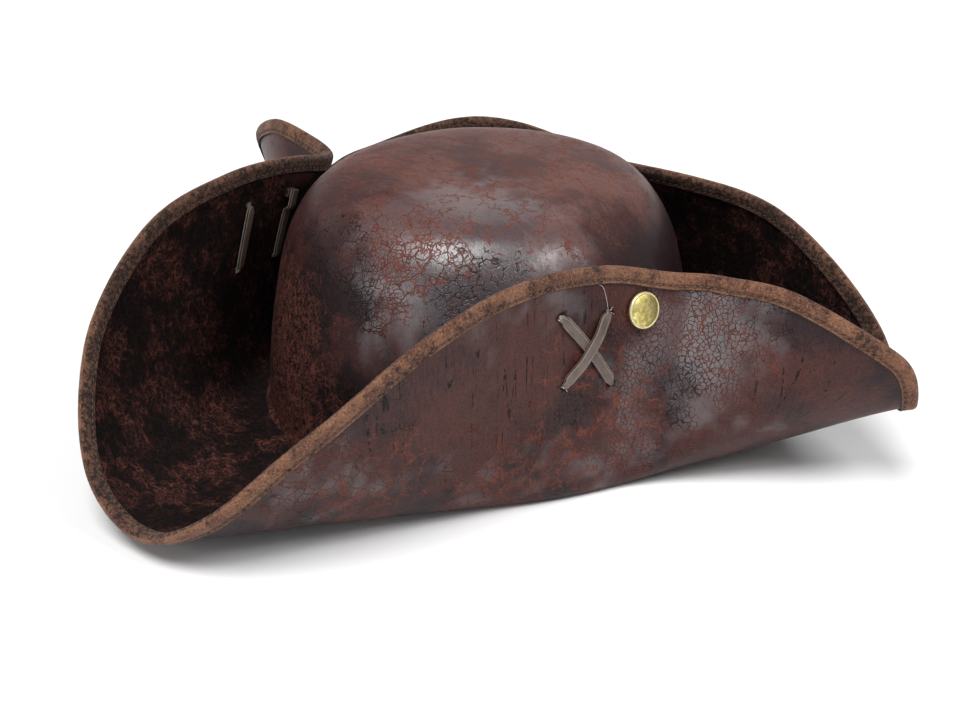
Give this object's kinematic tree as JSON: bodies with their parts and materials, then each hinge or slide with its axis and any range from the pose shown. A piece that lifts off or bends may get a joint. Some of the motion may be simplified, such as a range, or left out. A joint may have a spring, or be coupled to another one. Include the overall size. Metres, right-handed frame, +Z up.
{
  "type": "tricorn hat",
  "caption": "Moulded faux leather hat with a flared round crown, a wide brim turned up on three sides, a folded rim tape, crossed laces and domed studs on the side flaps.",
  "frame": {"origin": "under the middle of the whole hat's length and width, on the surface that it rests on", "axes": "+Z up, -Y towards the front corner, +X towards the wearer's left"},
  "size_m": [0.4088, 0.3232, 0.1141],
  "materials": {
    "body_leather": "half-gloss dark purple-brown, rubbed to rust, with fine cracks",
    "rim_tape": "napped tan-brown, mottled dark",
    "lace_strap": "matt grey-brown, worn",
    "stud_brass": "aged, mottled"
  },
  "bodies": {
    "root": {"hat_body": "body_leather", "rim_binding": "rim_tape", "lace_left": "lace_strap", "lace_right": "lace_strap", "stud_left": "stud_brass", "stud_right": "stud_brass"}
  },
  "joints": []
}
